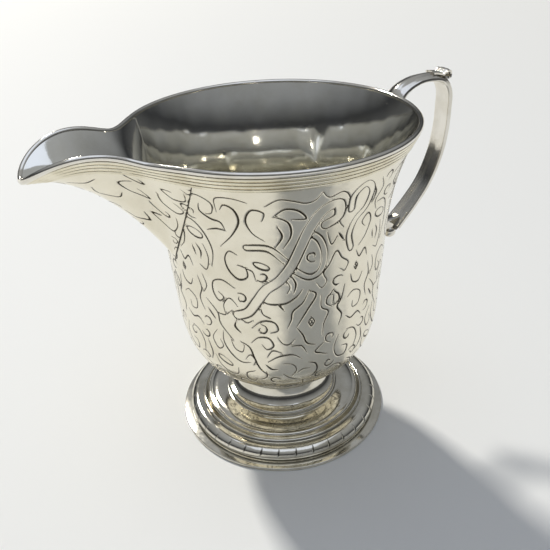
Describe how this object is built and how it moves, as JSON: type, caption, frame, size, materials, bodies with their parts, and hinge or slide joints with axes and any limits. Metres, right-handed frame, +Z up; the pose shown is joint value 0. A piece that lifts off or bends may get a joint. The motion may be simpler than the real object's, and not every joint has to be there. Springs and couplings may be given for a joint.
{
  "type": "cream jug",
  "caption": "Silver cream jug with a wide helmet spout, reeded rim, C-scroll strap handle and a spreading round foot.",
  "frame": {"origin": "centre of the foot's flat underside, on the body's axis, at table height", "axes": "+Z up along the body's axis, +X towards the handle, -X towards the spout, +Y across the jug"},
  "size_m": [0.1166, 0.0738, 0.0947],
  "materials": {
    "body_silver": "polished sterling silver, warm, with dark engraving all over and a fine haze of age",
    "trim_silver": "polished silver wire and castings, dark in the hollows",
    "foot_silver": "polished silver, slightly tarnished to a warm grey-brown in the hollows",
    "collar_dark": "dark oxidised silver at the joint of strap and bead"
  },
  "bodies": {
    "root": {"body_shell": "body_silver", "spout": "body_silver", "rim_wire": "trim_silver", "rim_reeding": "trim_silver", "lip_reeding": "trim_silver", "foot_dome": "foot_silver", "foot_moulding": "foot_silver", "base_ring": "foot_silver", "handle_root_pad": "trim_silver", "handle_strap": "trim_silver", "thumb_scroll": "trim_silver", "handle_bracket": "trim_silver", "terminal_collar": "collar_dark", "terminal_bead": "trim_silver"}
  },
  "joints": []
}
